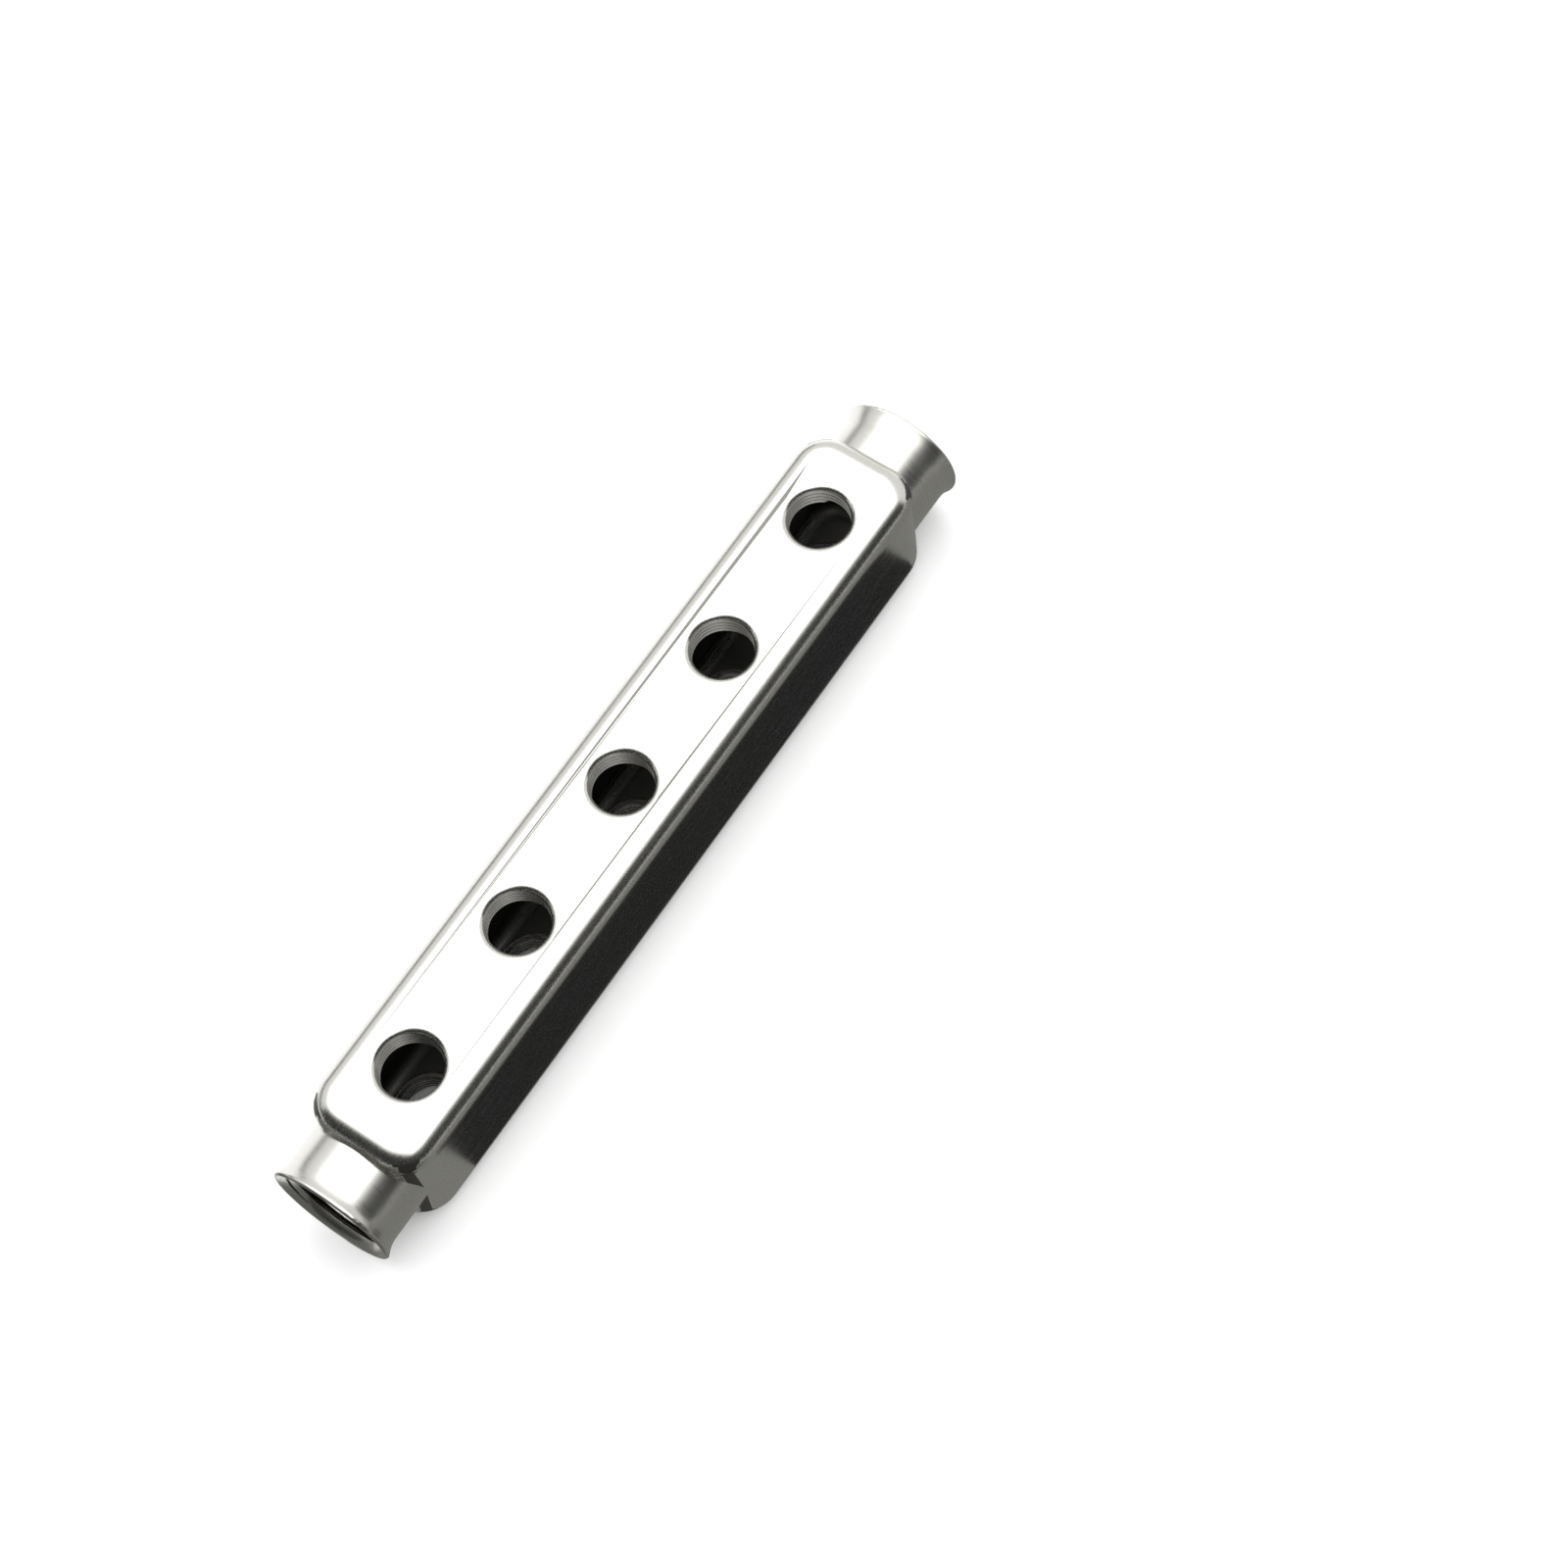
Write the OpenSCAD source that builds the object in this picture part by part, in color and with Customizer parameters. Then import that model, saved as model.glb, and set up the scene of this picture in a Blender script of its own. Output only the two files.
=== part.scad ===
// Rack coolant manifold bar.
// One stainless tube, hydroformed into a straight bar with a soft rectangular section. Five
// threaded ports are drawn inwards in the top wall, and five more face them in the bottom wall.
// Each end is a round neck with an internal thread and a flared mouth.
// Millimetres. The origin is at the middle of the bar, +X runs along it and +Z points out of the
// top ports.

/* [Body] */
// Width of the body between its side faces
body_w = 40; // [38:0.5:50]
// Height of the body between its two port faces
body_h = 45; // [43:0.5:60]
// Radius of the long edges, carried round both ends of each port face
edge_r = 7; // [4:0.5:8]
// Radius of the upright corners, where the side faces turn towards the necks
corner_r = 12; // [9:0.5:16]
// Wall of the formed body
wall = 2.5; // [1.5:0.1:3]
// From the axis of an outer port to the end face of the body
shoulder_reach = 27.2; // [26:0.2:60]

/* [Ports] */
// Ports in each port face
port_count = 5; // [2:1:8]
// Distance between neighbouring ports
port_pitch = 50; // [28:1:90]
// Bore of a port before its thread is cut: minor diameter of a G1/2 thread
port_bore = 18.631; // [14:0.001:20]
// Radius of the rounded entry of a port
entry_r = 2.4; // [1:0.1:3]
// From a port face to the rim of the collar that is drawn inwards
collar_depth = 8; // [6:0.5:14]
// Wall of a collar
collar_wall = 2.1; // [1.2:0.1:3]
// Radius of the bend between a collar and the inside of the body
collar_bend_r = 1.2; // [0.5:0.1:2]
// Bevel round the outer edge of a collar's rim
rim_bevel = 0.5; // [0.2:0.1:1]

/* [Ends] */
// Outside diameter of a neck
neck_od = 36; // [34:0.5:38]
// Bore of a neck before its thread is cut: minor diameter of a G1 thread
end_bore = 30.291; // [24:0.001:31]
// From the axis of an outer port to the front of the mouth
mouth_reach = 42.5; // [40:0.5:90]
// How far the lip of the mouth stands out beyond the neck, on the radius
lip_flare = 1.5; // [1:0.1:3]
// Thickness of the lip, which is fully rounded
lip_t = 1.6; // [1:0.1:2]
// Radius of the outer curve from neck to lip
flare_r = 9; // [5:0.5:14]
// Radius of the inner curve of the mouth, from lip to bore
bell_r = 6.3; // [4:0.1:9]

/* [Hidden] */
port_span = (port_count - 1) * port_pitch;      // outer port to outer port
body_l = port_span + 2 * shoulder_reach;
bar_l = port_span + 2 * mouth_reach;
port_r = port_bore / 2;
collar_r = port_r + collar_wall;
neck_r = neck_od / 2;
bore_r = end_bore / 2;

// The lip is a circle in the mouth's profile. The flare's curve touches it from outside and the
// bell's curve from inside, so the three run into each other without an edge. Here u is measured
// outwards from the outer port's axis and r from the bar's axis.
lip_q = lip_t / 2;
lip_u = mouth_reach - lip_q;
lip_r = neck_r + lip_flare - lip_q;
flare_cr = neck_r + flare_r;
flare_u = lip_u - sqrt(pow(flare_r + lip_q, 2) - pow(flare_cr - lip_r, 2));
bell_cr = bore_r + bell_r;
bell_u = lip_u - sqrt(pow(bell_r - lip_q, 2) - pow(bell_cr - lip_r, 2));
flare_k = lip_q / (flare_r + lip_q);
bell_k = lip_q / (bell_r - lip_q);
touch_out = [lip_u + flare_k * (flare_u - lip_u), lip_r + flare_k * (flare_cr - lip_r)];
touch_in = [lip_u + bell_k * (lip_u - bell_u), lip_r + bell_k * (lip_r - bell_cr)];
mouth_u = min(flare_u, bell_u) - 0.5;           // where the plain neck ends and the mouth begins

far = 5;                                        // how far a cutting shape runs past what it cuts

// Half of an upright section: from u = 0 to u = reach, with both outer edges rounded.
module half_section(reach, h, r) {
    translate([0, -h / 2]) square([reach - r, h]);
    translate([0, r - h / 2]) square([reach, h - 2 * r]);
    for (s = [0, 1]) mirror([0, s]) translate([reach - r, h / 2 - r]) intersection() {
        circle(r, $fn = 24);
        square(r + far);
    }
}

// The body's form, or with inset > 0 the space that lies that far inside it. Prisms make its
// length and its two ends, and quarter revolves of the same section make its upright corners.
module formed_block(inset) {
    r = edge_r - inset;
    c = corner_r - inset;
    h = body_h - 2 * inset;
    cx = body_l / 2 - corner_r;
    cy = body_w / 2 - corner_r;
    rotate([90, 0, 90]) linear_extrude(2 * cx, center = true) for (s = [0, 1])
        mirror([s, 0]) half_section(body_w / 2 - inset, h, r);
    for (sx = [0, 1]) mirror([sx, 0, 0]) {
        translate([cx, 0, 0]) rotate([90, 0, 0])
            linear_extrude(2 * cy, center = true) half_section(c, h, r);
        for (sy = [0, 1]) mirror([0, sy, 0])
            translate([cx, cy, 0]) rotate_extrude(angle = 90, $fn = 32) half_section(c, h, r);
    }
}

// Places its child at each port: its own +Z points out of the port and its z = 0 is the port face.
module at_ports() {
    for (i = [0 : port_count - 1], s = [0, 1])
        translate([i * port_pitch - port_span / 2, 0, 0]) mirror([0, 0, s])
            translate([0, 0, body_h / 2]) children();
}

// Places its child at each end: its own +Z points out of the end and its z = 0 is level with the
// axis of the outer port.
module at_ends() {
    for (s = [0, 1]) mirror([s, 0, 0])
        translate([port_span / 2, 0, 0]) rotate([0, 90, 0]) children();
}

// Collar under a port, still without its bore: a tube end with a bend into the wall above it.
module collar_blank() {
    skirt_r = collar_r + collar_bend_r;
    rotate_extrude($fn = 24) difference() {
        union() {
            translate([0, -wall - collar_bend_r]) square([skirt_r, collar_bend_r]);
            polygon([[0, -wall], [collar_r, -wall], [collar_r, rim_bevel - collar_depth],
                     [collar_r - rim_bevel, -collar_depth], [0, -collar_depth]]);
        }
        translate([skirt_r, -wall - collar_bend_r]) circle(collar_bend_r, $fn = 13);
    }
}

// What is cut away at a port: the rounded entry and the bore.
module port_cut() {
    translate([0, 0, -collar_depth - far]) cylinder(h = collar_depth + far, r = port_r, $fn = 24);
    rotate_extrude($fn = 24) difference() {
        translate([0, -entry_r]) square([port_r + entry_r, entry_r + far]);
        translate([port_r + entry_r, -entry_r]) circle(entry_r, $fn = 16);
    }
}

// The mouth: the last stretch of the neck, flared outside and belled inside, with a round lip.
module mouth_ring() {
    rotate_extrude($fn = 40) {
        difference() {
            polygon([[bore_r, mouth_u], [bore_r, touch_in[0]], [touch_in[1], touch_in[0]],
                     [touch_out[1], touch_out[0]], [touch_out[1], flare_u], [neck_r, flare_u],
                     [neck_r, mouth_u]]);
            translate([flare_cr, flare_u]) circle(flare_r, $fn = 48);
            difference() {
                translate([bore_r - far, bell_u]) square([far + bell_r, far + touch_in[0] - bell_u]);
                translate([bell_cr, bell_u]) circle(bell_r, $fn = 24);
            }
        }
        translate([lip_r, lip_u]) circle(lip_q, $fn = 14);
    }
}

module manifold_bar() {
    color([0.77, 0.77, 0.74]) {
        difference() {
            union() {
                difference() {
                    union() {
                        formed_block(0);
                        at_ends() cylinder(h = mouth_u, r = neck_r, $fn = 40);
                    }
                    formed_block(wall);
                }
                at_ports() collar_blank();
            }
            at_ports() port_cut();
            at_ends() cylinder(h = mouth_u + far, r = bore_r, $fn = 40);
        }
        at_ends() mouth_ring();
    }
}

manifold_bar();
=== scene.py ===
# %% [markdown]
# # Rack coolant manifold bar
# A stainless manifold bar hands cold water to a rack. A pump feeds one threaded end, and every
# threaded port passes some of the flow to a server tray. The bar is made from one piece of tube,
# pressed outwards by water in a mould (hydroforming), with its ports drawn inwards afterwards.
# The exact CAD model gives the form. This script cuts the threads, which the CAD model leaves as
# plain bores, gives each zone of the metal its own finish, with painted shade as a darker colour in
# the threads and in the hollow, and lights it as a small studio would.
# %% Load the CAD model
import bpy
import bmesh
import math
from mathutils import Matrix, Vector
from mathutils.bvhtree import BVHTree


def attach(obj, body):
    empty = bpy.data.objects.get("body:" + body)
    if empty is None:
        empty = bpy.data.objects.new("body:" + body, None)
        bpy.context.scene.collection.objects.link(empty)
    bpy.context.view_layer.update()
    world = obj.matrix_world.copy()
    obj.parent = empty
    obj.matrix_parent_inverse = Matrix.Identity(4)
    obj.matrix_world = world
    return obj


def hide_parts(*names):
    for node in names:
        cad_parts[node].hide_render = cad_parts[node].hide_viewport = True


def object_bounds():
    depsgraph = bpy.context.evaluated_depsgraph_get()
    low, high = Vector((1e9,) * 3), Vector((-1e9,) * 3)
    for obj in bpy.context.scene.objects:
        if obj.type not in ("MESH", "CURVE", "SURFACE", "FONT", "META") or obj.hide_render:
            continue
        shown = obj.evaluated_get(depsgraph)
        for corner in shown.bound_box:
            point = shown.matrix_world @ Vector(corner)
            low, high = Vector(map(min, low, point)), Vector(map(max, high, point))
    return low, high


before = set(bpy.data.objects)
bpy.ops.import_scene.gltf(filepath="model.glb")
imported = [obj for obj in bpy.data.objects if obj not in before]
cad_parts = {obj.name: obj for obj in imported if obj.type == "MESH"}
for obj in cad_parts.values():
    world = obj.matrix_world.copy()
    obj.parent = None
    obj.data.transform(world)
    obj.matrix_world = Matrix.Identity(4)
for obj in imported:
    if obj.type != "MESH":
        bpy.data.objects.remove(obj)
cad_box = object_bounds()
cad_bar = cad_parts["manifold_bar"]
MM = 0.001
print("CAD box in mm:", [[round(v / MM, 2) for v in corner] for corner in cad_box])

# %% [markdown]
# ## Sizes
# Everything here is in metres and repeats what the CAD model was built from. The threads are
# parallel pipe threads: G1/2 in the ports and G1 in the ends, with a 55 degree groove.
# %% Sizes
PORT_PITCH = 50 * MM
PORT_COUNT = 5
PORT_SPAN = (PORT_COUNT - 1) * PORT_PITCH
FACE_Z = cad_box[1].z                       # the port faces lie at +FACE_Z and -FACE_Z
END_X = cad_box[1].x                        # the mouths lie at +END_X and -END_X
COLLAR_DEPTH = 8 * MM
SHOULDER_X = PORT_SPAN / 2 + 27.2 * MM      # end face of the body
CAVITY = (SHOULDER_X - 2.4 * MM, 17.6 * MM, FACE_Z - 2.4 * MM)   # half sizes of the hollow inside
RIM_R = 11.5 * MM                           # reach of a collar's rim from its port's axis
G_HALF = {"minor": 18.631 * MM, "major": 20.955 * MM, "pitch": 1.814 * MM}
G_ONE = {"minor": 30.291 * MM, "major": 33.249 * MM, "pitch": 2.309 * MM}
FLANK = math.radians(27.5)                  # half of the groove's 55 degrees
CREST_X = SHOULDER_X - 6 * MM               # beyond it the crests in the ends are turned
RIM_HALF = 0.6 * MM                         # half of the height that a collar's rim takes up
SKIN = 0.02 * MM                            # how far a face of the mesh may lie off its true surface

# %% [markdown]
# ## Threads
# A tap cuts one helical groove from the bore's wall outwards, so a thread is made here the same
# way: a long solid with the groove's section is wound along the axis and taken away from the bar.
# A ridge laid on the bore would be easier, but it would narrow the hole, and it would not cut
# notches into the rounded entry and the collar's rim as a real thread does.
# %% Thread cutters
def groove_section(thread):
    """Half widths of the groove along the axis at each radius, from inside the bore to its root."""
    minor = thread["minor"] / 2
    major = thread["major"] / 2
    pitch = thread["pitch"]
    root = pitch / 12
    width = root + (major - minor) * math.tan(FLANK)
    # The first point lies inside the bore, and the last two round the root off.
    return [(minor - 0.4 * MM, width), (minor, width), (major - 0.09 * pitch, root * 1.35),
            (major - 0.02 * pitch, root * 0.7)]


def add_thread_cutter(bm, thread, length, place, steps):
    """A right-handed helix of the groove's section, from z = 0 down to z = -length, set at place."""
    section = groove_section(thread)
    outline = [(r, w) for r, w in section] + [(r, -w) for r, w in reversed(section)]
    rings = int(length / thread["pitch"] * steps)
    loops = []
    for k in range(rings + 1):
        turn = 2 * math.pi * k / steps
        z = -length + thread["pitch"] * k / steps
        loops.append([bm.verts.new(place @ Vector((r * math.cos(turn), r * math.sin(turn), z + w)))
                      for r, w in outline])
    for a, b in zip(loops, loops[1:]):
        for i in range(len(outline)):
            j = (i + 1) % len(outline)
            bm.faces.new((a[i], a[j], b[j], b[i]))
    bm.faces.new(list(reversed(loops[0])))
    bm.faces.new(loops[-1])


def port_places():
    """Where each port's mouth is, with +Z pointing out of it."""
    for i in range(PORT_COUNT):
        x = i * PORT_PITCH - PORT_SPAN / 2
        for turn in (0, math.pi):
            at = Vector((x, 0, FACE_Z if turn == 0 else -FACE_Z))
            yield Matrix.Translation(at) @ Matrix.Rotation(turn, 4, "X")


def end_places():
    """Where each end's mouth is, with +Z pointing out of it."""
    for side in (1, -1):
        yield Matrix.Translation((side * END_X, 0, 0)) @ Matrix.Rotation(side * math.pi / 2, 4, "Y")


# The start is measured outwards from the mouth. Steps are the straight pieces in one turn.
PORT_GROOVE = {"start": 0.6 * MM, "length": COLLAR_DEPTH + 1.8 * MM, "steps": 48}
END_GROOVE = {"start": -1.2 * MM, "length": 22 * MM, "steps": 72}
cutter_bm = bmesh.new()
for place in port_places():
    start = place @ Matrix.Translation((0, 0, PORT_GROOVE["start"]))
    add_thread_cutter(cutter_bm, G_HALF, PORT_GROOVE["length"], start, PORT_GROOVE["steps"])
for place in end_places():
    start = place @ Matrix.Translation((0, 0, END_GROOVE["start"]))
    add_thread_cutter(cutter_bm, G_ONE, END_GROOVE["length"], start, END_GROOVE["steps"])
bmesh.ops.recalc_face_normals(cutter_bm, faces=cutter_bm.faces)
cutter_mesh = bpy.data.meshes.new("thread_cutters")
cutter_bm.to_mesh(cutter_mesh)
cutter_bm.free()
print("thread cutters:", len(cutter_mesh.polygons), "faces")

# %% [markdown]
# ## The bar with its threads
# The CAD mesh is copied, its split corners are welded so that it is closed, and the cutters are
# taken away from it. The CAD model knows the true normal at every corner, and that is what makes
# its fillets look smooth, so the normals are read back from it wherever the surface is unchanged.
# %% Cut the threads
def closed_copy(mesh, name):
    """A welded, closed copy of a mesh."""
    bm = bmesh.new()
    bm.from_mesh(mesh)
    bmesh.ops.remove_doubles(bm, verts=bm.verts, dist=1e-6)
    copy = bpy.data.meshes.new(name)
    bm.to_mesh(copy)
    bm.free()
    for layer in [a.name for a in copy.attributes if a.name == "custom_normal"]:
        copy.attributes.remove(copy.attributes[layer])
    return copy


def cut(mesh, cutter, name):
    """The mesh with the cutter taken away from it."""
    obj = bpy.data.objects.new(name, mesh)
    tool = bpy.data.objects.new(name + "_tool", cutter)
    for o in (obj, tool):
        bpy.context.scene.collection.objects.link(o)
    mod = obj.modifiers.new("threads", "BOOLEAN")
    mod.operation = "DIFFERENCE"
    mod.solver = "MANIFOLD"
    mod.object = tool
    bpy.context.view_layer.update()
    graph = bpy.context.evaluated_depsgraph_get()
    result = bpy.data.meshes.new_from_object(obj.evaluated_get(graph), depsgraph=graph)
    for o in (obj, tool):
        bpy.data.objects.remove(o)
    return result


bar_mesh = cut(closed_copy(cad_bar.data, "blank"), cutter_mesh, "bar")
print("bar with threads:", len(bar_mesh.polygons), "faces")

# %% [markdown]
# Each corner of the new mesh looks up the CAD face under it and takes that face's own normals,
# weighted by where the corner lies in it. A face that no CAD face lies under belongs to a groove,
# and keeps the normals that Blender works out from its neighbours.
# %% Carry the normals over
def barycentric(p, a, b, c):
    """Weights of a, b and c at p, held between 0 and 1 where p lies just outside the triangle."""
    ab = b - a
    ac = c - a
    ap = p - a
    d00 = ab.dot(ab)
    d01 = ab.dot(ac)
    d11 = ac.dot(ac)
    d20 = ap.dot(ab)
    d21 = ap.dot(ac)
    area = d00 * d11 - d01 * d01
    if abs(area) < 1e-30:
        return [1, 0, 0]
    v = (d11 * d20 - d01 * d21) / area
    w = (d00 * d21 - d01 * d20) / area
    weights = [min(max(k, 0), 1) for k in (1 - v - w, v, w)]
    return [k / sum(weights) for k in weights]


SHARP = math.radians(28)                    # an edge of a groove with a wider turn stays sharp
INWARD = 0.03                               # a look-up starts this share of the way into its face


def carry_normals(mesh, source, on_surface=0.01 * MM):
    """Gives mesh the corner normals of source. Returns the faces that source has nothing under."""
    source.calc_loop_triangles()
    corners = [n.vector.copy() for n in source.corner_normals]
    tris = [(tuple(t.vertices), tuple(t.loops)) for t in source.loop_triangles]
    points = [v.co.copy() for v in source.vertices]
    tree = BVHTree.FromPolygons(points, [t[0] for t in tris])
    mesh.shade_smooth()
    mesh.set_sharp_from_angle(angle=SHARP)
    own = [n.vector.copy() for n in mesh.corner_normals]
    new = []
    cut_faces = set()
    for poly in mesh.polygons:
        distance = tree.find_nearest(poly.center)[3]
        if distance > on_surface:
            cut_faces.add(poly.index)
            new += [own[i] for i in poly.loop_indices]
            continue
        for i in poly.loop_indices:
            at = mesh.vertices[mesh.loops[i].vertex_index].co
            verts, loops = tris[tree.find_nearest(at.lerp(poly.center, INWARD))[2]]
            weights = barycentric(at, *(points[v] for v in verts))
            mixed = sum((corners[k] * w for k, w in zip(loops, weights)), Vector())
            new.append(mixed.normalized() if mixed.length > 0.5 else poly.normal.copy())
    mesh.normals_split_custom_set(new)
    return cut_faces


groove_faces = carry_normals(bar_mesh, cad_bar.data)
print("groove faces:", len(groove_faces))

# %% [markdown]
# ## Materials
# Colours are written as they would be measured, in sRGB, and turned to linear here. The metal is
# one common stainless steel, 304, all over. The brushed body and the turned necks share its clean
# colour and differ in the direction of their fine scratches. The threads and the inside are darker:
# that is painted shade, for the shade that falls in the bores and in the hollow.
# %% Material helpers
def srgb(code):
    """Linear RGBA of an sRGB colour such as "#C8C7C2"."""
    parts = [int(code[i:i + 2], 16) / 255 for i in (1, 3, 5)]
    return tuple(c / 12.92 if c <= 0.04045 else ((c + 0.055) / 1.055) ** 2.4 for c in parts) + (1,)


def new_material(name):
    """An empty node material and its Principled shader."""
    mat = bpy.data.materials.new(name)
    mat.use_nodes = True
    tree = mat.node_tree
    tree.nodes.clear()
    shader = tree.nodes.new("ShaderNodeBsdfPrincipled")
    out = tree.nodes.new("ShaderNodeOutputMaterial")
    tree.links.new(shader.outputs["BSDF"], out.inputs["Surface"])
    return mat, shader


def add(tree, kind, settings=None, **links):
    """Adds a node. Settings are attributes or input values; links are inputs fed by sockets."""
    node = tree.nodes.new(kind)
    for key, value in (settings or {}).items():
        if key in node.inputs:
            node.inputs[key].default_value = value
        else:
            setattr(node, key, value)
    for key, socket in links.items():
        tree.links.new(socket, node.inputs[key.replace("_", " ")])
    return node


STEEL = srgb("#D2D1CB")
print("steel, linear:", [round(c, 3) for c in STEEL])

# %% [markdown]
# ### Satin formed steel
# The body is brushed along its length after forming. The belt leaves scratches about 0.2 mm
# apart and some 20 mm long, which soften every reflection in it.
# Two noises drawn out along X give them: a fine one, and a coarser one for streaks that show.
# %% Satin formed steel
def scratches(tree, stretch, seed):
    """A height pattern of long fine lines. stretch holds the lines per metre along X, Y and Z."""
    coords = add(tree, "ShaderNodeTexCoord")
    mapping = add(tree, "ShaderNodeMapping", {"Scale": stretch, "Location": (seed, seed, seed)},
                  Vector=coords.outputs["Object"])
    fine = add(tree, "ShaderNodeTexNoise", {"Scale": 1.0, "Detail": 2.0},
               Vector=mapping.outputs["Vector"])
    wide = add(tree, "ShaderNodeTexNoise", {"Scale": 0.23, "Detail": 1.0},
               Vector=mapping.outputs["Vector"])
    mixed = add(tree, "ShaderNodeMath", {"operation": "ADD"})
    tree.links.new(fine.outputs["Fac"], mixed.inputs[0])
    tree.links.new(wide.outputs["Fac"], mixed.inputs[1])
    return mixed.outputs["Value"]


def brushed_steel(name, colour, stretch, rough, depth, seed):
    """Steel with fine scratches. rough holds its lowest and highest roughness, and depth is in metres."""
    mat, shader = new_material(name)
    tree = mat.node_tree
    lines = scratches(tree, stretch, seed)
    spread = add(tree, "ShaderNodeMapRange", {"From Min": 0.6, "From Max": 1.4,
                                              "To Min": rough[0], "To Max": rough[1]}, Value=lines)
    bump = add(tree, "ShaderNodeBump", {"Strength": 0.6, "Distance": depth}, Height=lines)
    shader.inputs["Base Color"].default_value = colour
    shader.inputs["Metallic"].default_value = 1.0
    tree.links.new(spread.outputs["Result"], shader.inputs["Roughness"])
    tree.links.new(bump.outputs["Normal"], shader.inputs["Normal"])
    return mat


satin = brushed_steel("stainless_304_satin_brushed", STEEL, (60, 5000, 5000), (0.22, 0.30),
                      0.0005 * MM, 0.0)
print("material:", satin.name)

# %% [markdown]
# ### Turned steel
# The necks are finished on a lathe with a fine belt, so their scratches run round the bar's axis:
# the pattern changes fast along X and slowly across it.
# %% Turned steel
turned = brushed_steel("stainless_304_turned", STEEL, (7000, 80, 80), (0.26, 0.33),
                       0.0005 * MM, 3.0)
print("material:", turned.name)

# %% [markdown]
# ### Cut threads
# A tap tears the steel a little, so the threads are a little rougher than the brushed outside. Their
# darker colour is painted shade, for the shade that falls in the bores. The inside of the body is as
# the mould's water left it: dull, and darker still as painted shade, for the shade in the hollow.
# %% Cut threads and the inside
# Painted shade: the dark colour of the threads stands in for the shade inside the bores.
tapped = brushed_steel("stainless_304_tapped_painted_shade", srgb("#6E6D69"), (900, 900, 900), (0.24, 0.34),
                       0.001 * MM, 7.0)
# Painted shade: the dark colour of the inside stands in for the shade in the hollow.
inside = brushed_steel("stainless_304_as_formed_painted_shade", srgb("#5E5D59"), (300, 300, 300), (0.45, 0.6),
                       0.002 * MM, 11.0)
print("materials:", tapped.name, inside.name)

# %% [markdown]
# Which face gets which finish follows from where it lies. A groove is tapped metal, coloured darker
# as painted shade, and the crests left between its turns shine like the necks. Beyond the shoulders a
# face belongs to a neck, within the hollow it is as formed and coloured darker as painted shade, and
# everything else is the satin body. The hollow is tested as a plain box, which also takes in some
# small faces on the rounded outer corners of the body.
# %% Dress the bar
# The tapped and inside entries carry painted shade in their darker colours.
FINISHES_AND_SHADE = [satin, turned, tapped, inside]


def nearest_port(p):
    """Distance of a point from the axis of the nearest port."""
    last = PORT_COUNT // 2
    port_x = min(max(round(p.x / PORT_PITCH), -last), last) * PORT_PITCH
    return math.hypot(p.x - port_x, p.y)


def finish_or_shade_of(poly):
    """Index of the face's finish in the list; the tapped and inside finishes carry painted shade."""
    if poly.index in groove_faces:
        return FINISHES_AND_SHADE.index(tapped)
    p = poly.center
    from_port = nearest_port(p)
    on_port_wall = from_port < G_HALF["minor"] / 2 + SKIN
    on_end_wall = math.hypot(p.y, p.z) < G_ONE["minor"] / 2 + SKIN
    depth = FACE_Z - abs(p.z)
    on_neck = abs(p.x) > SHOULDER_X + SKIN
    on_rim = abs(depth - COLLAR_DEPTH) < RIM_HALF and from_port < RIM_R
    end_crest = abs(p.x) > CREST_X and on_end_wall
    port_crest = on_port_wall and depth < COLLAR_DEPTH + 0.1 * MM
    if on_neck or on_rim or end_crest or port_crest:
        return FINISHES_AND_SHADE.index(turned)
    in_hollow = all(abs(v) < half for v, half in zip(p, CAVITY)) and not on_port_wall
    return FINISHES_AND_SHADE.index(inside if in_hollow else satin)


for poly in bar_mesh.polygons:
    poly.use_smooth = True
bar_mesh.materials.clear()
for mat in FINISHES_AND_SHADE:
    bar_mesh.materials.append(mat)
for poly in bar_mesh.polygons:
    poly.material_index = finish_or_shade_of(poly)
bar = bpy.data.objects.new("manifold_bar_threaded", bar_mesh)
bpy.context.scene.collection.objects.link(bar)
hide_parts("manifold_bar")
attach(bar, "root")
for mat_slot in cad_bar.material_slots:
    mat_slot.material = satin
for index, mat in enumerate(FINISHES_AND_SHADE):
    print(mat.name, "on", sum(poly.material_index == index for poly in bar_mesh.polygons), "faces")

# %% [markdown]
# ## Studio
# Polished metal shows what stands round it, so the studio is mostly cards: a wide soft box above
# for the bright port faces, and dark cards low down for the dark sides. A card is seen only in
# reflections, so that it casts no shadow on the pale floor.
# %% Studio helpers
def plain(name, colour):
    """A material that glows evenly, for cards that only reflections see."""
    mat = bpy.data.materials.new(name)
    mat.use_nodes = True
    tree = mat.node_tree
    tree.nodes.clear()
    glow = tree.nodes.new("ShaderNodeEmission")
    glow.inputs["Color"].default_value = srgb(colour)
    glow.inputs["Strength"].default_value = 1.0
    out = tree.nodes.new("ShaderNodeOutputMaterial")
    tree.links.new(glow.outputs["Emission"], out.inputs["Surface"])
    return mat


def card(name, corners, colour):
    """A card with these corners, seen only in reflections."""
    mesh = bpy.data.meshes.new(name)
    mesh.from_pydata(corners, [], [tuple(range(len(corners)))])
    mesh.materials.append(plain(name, colour))
    obj = bpy.data.objects.new(name, mesh)
    bpy.context.scene.collection.objects.link(obj)
    for ray in ("camera", "diffuse", "shadow", "transmission", "volume_scatter"):
        setattr(obj, "visible_" + ray, False)


# %% [markdown]
# The world is plain white and even, as a light tent is, and it fills the shadows. The floor is a
# sheet of white paper. It lies 0.2 mm below the bar, so that no two faces share a place.
# %% Floor and world
world = bpy.data.worlds.new("studio")
bpy.context.scene.world = world
world.use_nodes = True
tree = world.node_tree
tree.nodes.clear()
white = add(tree, "ShaderNodeBackground", {"Color": srgb("#FFFFFF"), "Strength": 1.0})
out = tree.nodes.new("ShaderNodeOutputWorld")
tree.links.new(white.outputs["Background"], out.inputs["Surface"])

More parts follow.
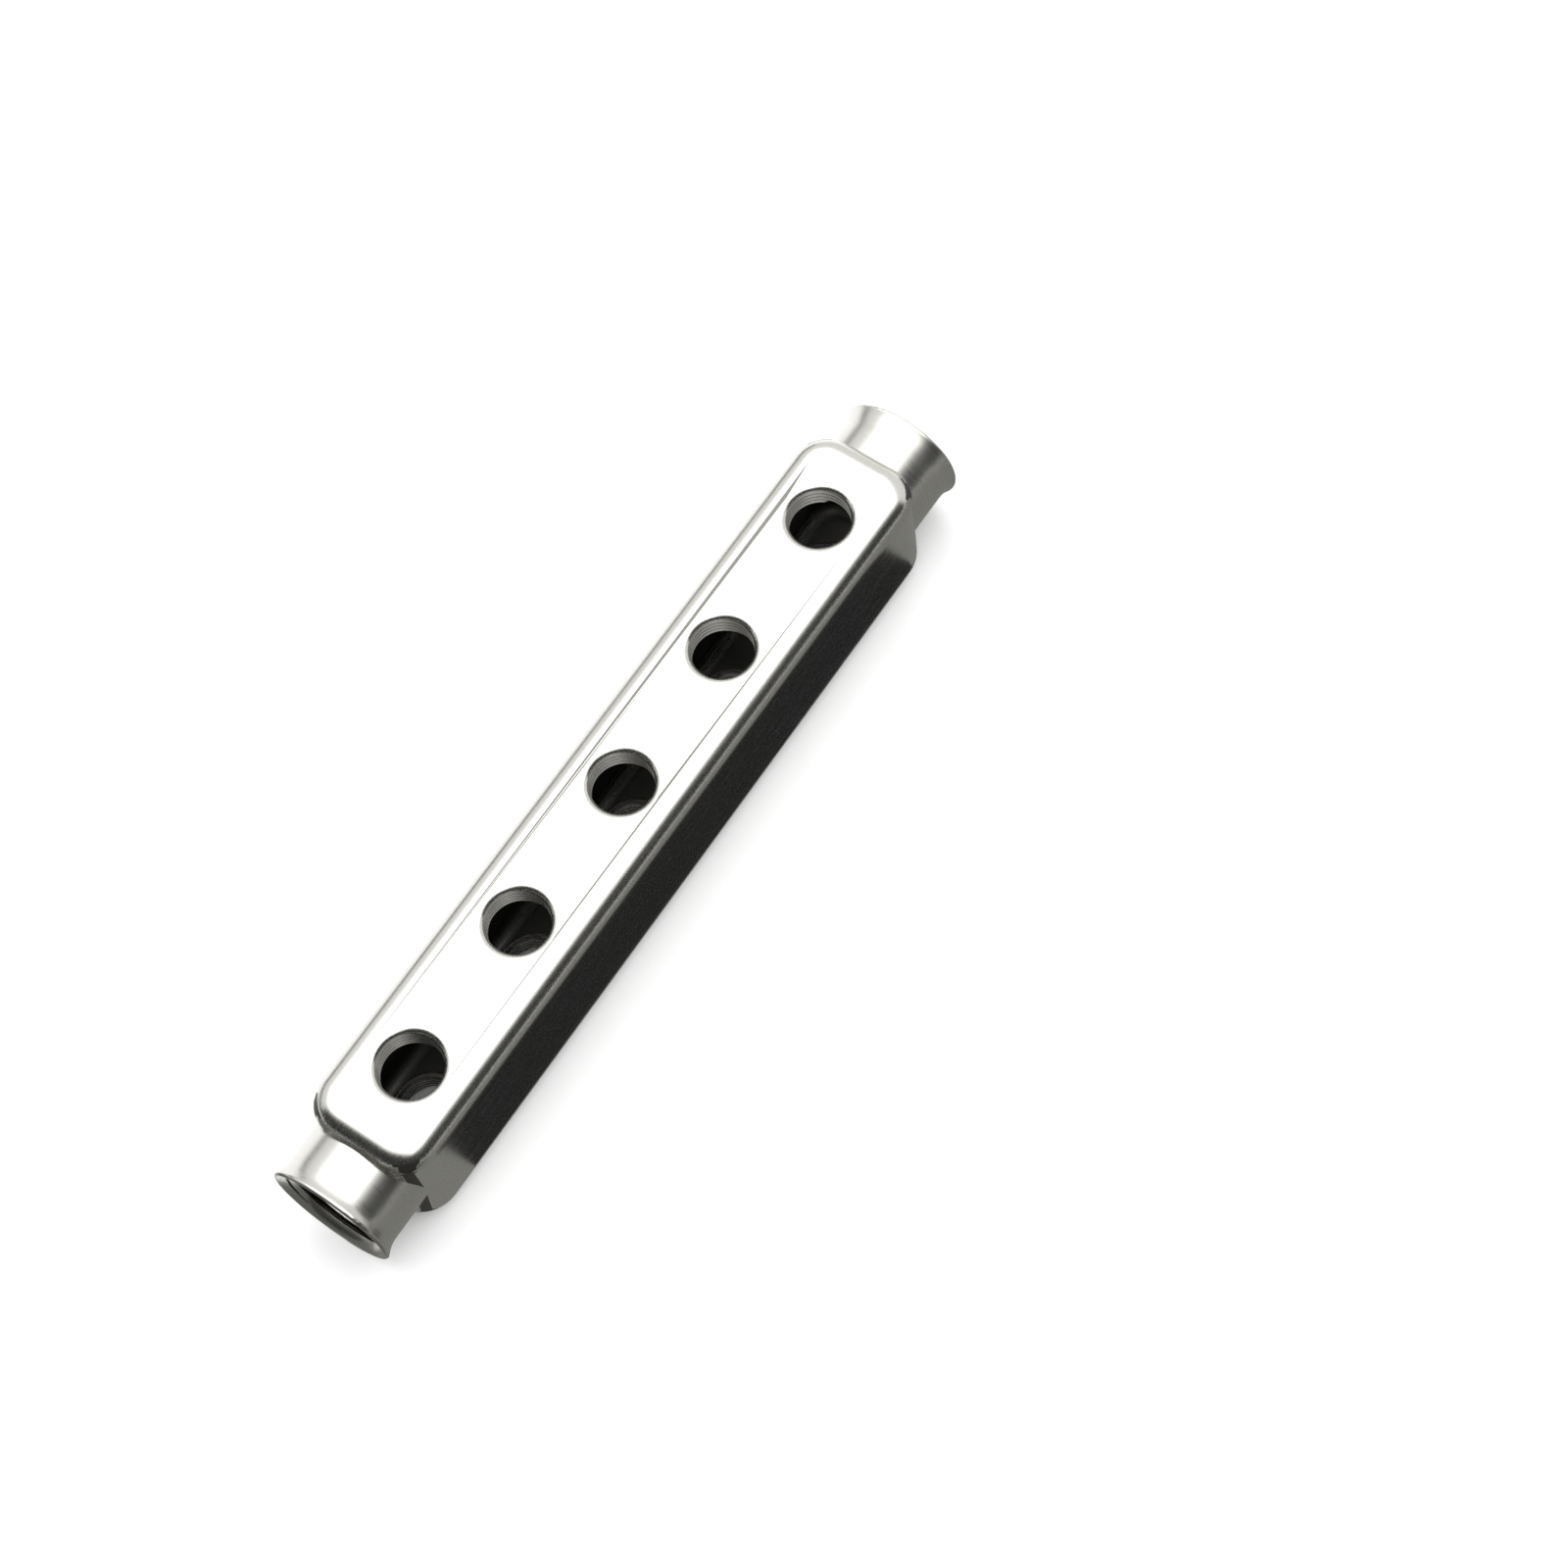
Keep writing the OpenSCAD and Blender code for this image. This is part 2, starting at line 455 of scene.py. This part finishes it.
HALF = 6.0
floor_mesh = bpy.data.meshes.new("floor")
floor_mesh.from_pydata([(-HALF, -HALF, 0), (HALF, -HALF, 0), (HALF, HALF, 0), (-HALF, HALF, 0)],
                       [], [(0, 1, 2, 3)])
floor = bpy.data.objects.new("floor", floor_mesh)
floor.location.z = -FACE_Z - 0.2 * MM
bpy.context.scene.collection.objects.link(floor)
floor_mat, floor_shader = new_material("white_paper")
floor_shader.inputs["Base Color"].default_value = srgb("#F4F4F4")
floor_shader.inputs["Roughness"].default_value = 0.9
floor_shader.inputs["Specular IOR Level"].default_value = 0.1
floor_mesh.materials.append(floor_mat)
print("floor at z =", round(floor.location.z / MM, 2), "mm")

# %% [markdown]
# One wide soft box hangs above the bar, a little to the right and behind. A grey card lies on the
# table in front of the bar, with a dark strip close beside the bar, so that the near side is darker
# than the port faces. Dark walls stand in front and to the left, a low grey one stands behind, and a
# second grey card lies before the near mouth.
# %% Lights and cards
def area_light(name, at, toward, size, power):
    """A soft box: a rectangular lamp at a place, facing a point."""
    lamp = bpy.data.lights.new(name, "AREA")
    lamp.shape = "RECTANGLE"
    lamp.size, lamp.size_y = size
    lamp.energy = power
    obj = bpy.data.objects.new(name, lamp)
    obj.location = at
    obj.rotation_euler = (Vector(at) - Vector(toward)).to_track_quat("Z", "Y").to_euler()
    bpy.context.scene.collection.objects.link(obj)


def level_card(name, x, y, height, colour):
    """A card that lies level, from x[0] to x[1] and from y[0] to y[1]."""
    card(name, [(x[0], y[0], height), (x[1], y[0], height), (x[1], y[1], height),
                (x[0], y[1], height)], colour)


def wall_card(name, start, end, height, colour):
    """An upright card on the floor between two points of it."""
    card(name, [(*start, CARD_Z), (*end, CARD_Z), (*end, height), (*start, height)], colour)


CARD_Z = -FACE_Z + 0.2 * MM                 # the cards start just above the floor
FRONT = 1.3                                 # distance of the front, back and right edges of the set
LEFT = 1.0                                  # distance of the left wall
area_light("softbox", (0.25, 0.15, 1.35), (0.25, 0.15, 0), (2.0, 2.4), 22)
level_card("table_card", (-0.5, 0.5), (-0.5, 0.0), CARD_Z, "#8A8A88")
level_card("side_card", (-0.105, 0.12), (-0.075, -0.021), CARD_Z + 0.2 * MM, "#262626")
wall_card("front_wall", (-FRONT, -FRONT), (FRONT, -FRONT), 1.3, "#303030")
wall_card("left_wall", (-LEFT, -FRONT), (-LEFT, FRONT), 1.3, "#303030")
wall_card("back_wall", (-LEFT, FRONT), (FRONT, FRONT), 0.3, "#707070")
level_card("mouth_card", (-0.6, -0.15), (-0.5, 0.25), CARD_Z + 0.1 * MM, "#6A6A68")

# %% [markdown]
# ## Camera
# A long lens looks down on the bar along its length, from the end that is nearest.
# %% Camera
camera_data = bpy.data.cameras.new("camera")
camera_data.sensor_width = 36
camera_data.lens = 85.46
camera_data.shift_x = -0.0324
camera_data.shift_y = -0.1759
camera = bpy.data.objects.new("camera", camera_data)
camera.location = (-0.2898, -0.3405, 0.9804)
camera.rotation_euler = [math.radians(a) for a in (28.280, 3.585, -56.039)]
bpy.context.scene.collection.objects.link(camera)
bpy.context.scene.camera = camera
bpy.context.scene.view_settings.view_transform = "Standard"
